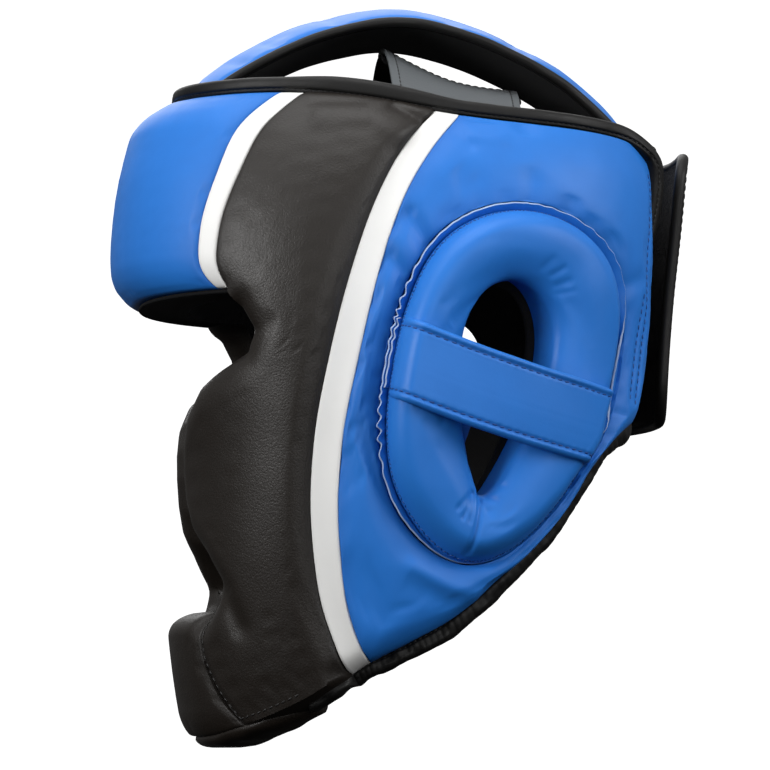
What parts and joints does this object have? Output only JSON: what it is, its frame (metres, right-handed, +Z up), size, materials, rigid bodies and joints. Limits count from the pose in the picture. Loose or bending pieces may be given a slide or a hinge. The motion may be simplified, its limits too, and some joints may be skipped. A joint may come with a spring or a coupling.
{
  "type": "boxing head guard",
  "caption": "Padded full-face boxing head guard with brow, cheek, ear and chin pads, open ear holes, a padded crown strap, cross straps and a hook-and-loop flap at the back.",
  "frame": {"origin": "crown seat: the underside of the crown strap on the centre plane, where the top of the head sits", "axes": "+Z up, the face looks along -Y, +X is the wearer's left"},
  "size_m": [0.2232, 0.2385, 0.308],
  "materials": {
    "blue_leather": "smooth semi-gloss",
    "black_leather": "fine grain, semi-gloss",
    "white_leather": "smooth satin",
    "binding": "dull folded tape",
    "lining": "soft matt",
    "loop": "napped loop fabric",
    "hook": "smooth woven tape"
  },
  "bodies": {
    "root": {"brow_pad": "blue_leather", "brow_lining": "lining", "brow_stripe_left": "white_leather", "brow_stripe_right": "white_leather", "cheek_pad_left": "black_leather", "cheek_pad_right": "black_leather", "side_stripe_left": "white_leather", "side_stripe_right": "white_leather", "rear_pad_left": "blue_leather", "rear_pad_right": "blue_leather", "rear_lining_left": "lining", "rear_lining_right": "lining", "ear_pad_left": "blue_leather", "ear_pad_right": "blue_leather", "ear_strap_left": "blue_leather", "ear_strap_right": "blue_leather", "chin_pad": "black_leather", "chin_gusset": "black_leather", "rim_binding": "binding", "lower_binding_left": "binding", "lower_binding_right": "binding", "crown_strap": "blue_leather", "crown_lining": "lining", "crown_binding_left": "binding", "crown_binding_right": "binding", "cross_strap_left": "hook", "cross_strap_right": "loop", "back_panel": "loop", "back_flap": "loop"}
  },
  "joints": []
}
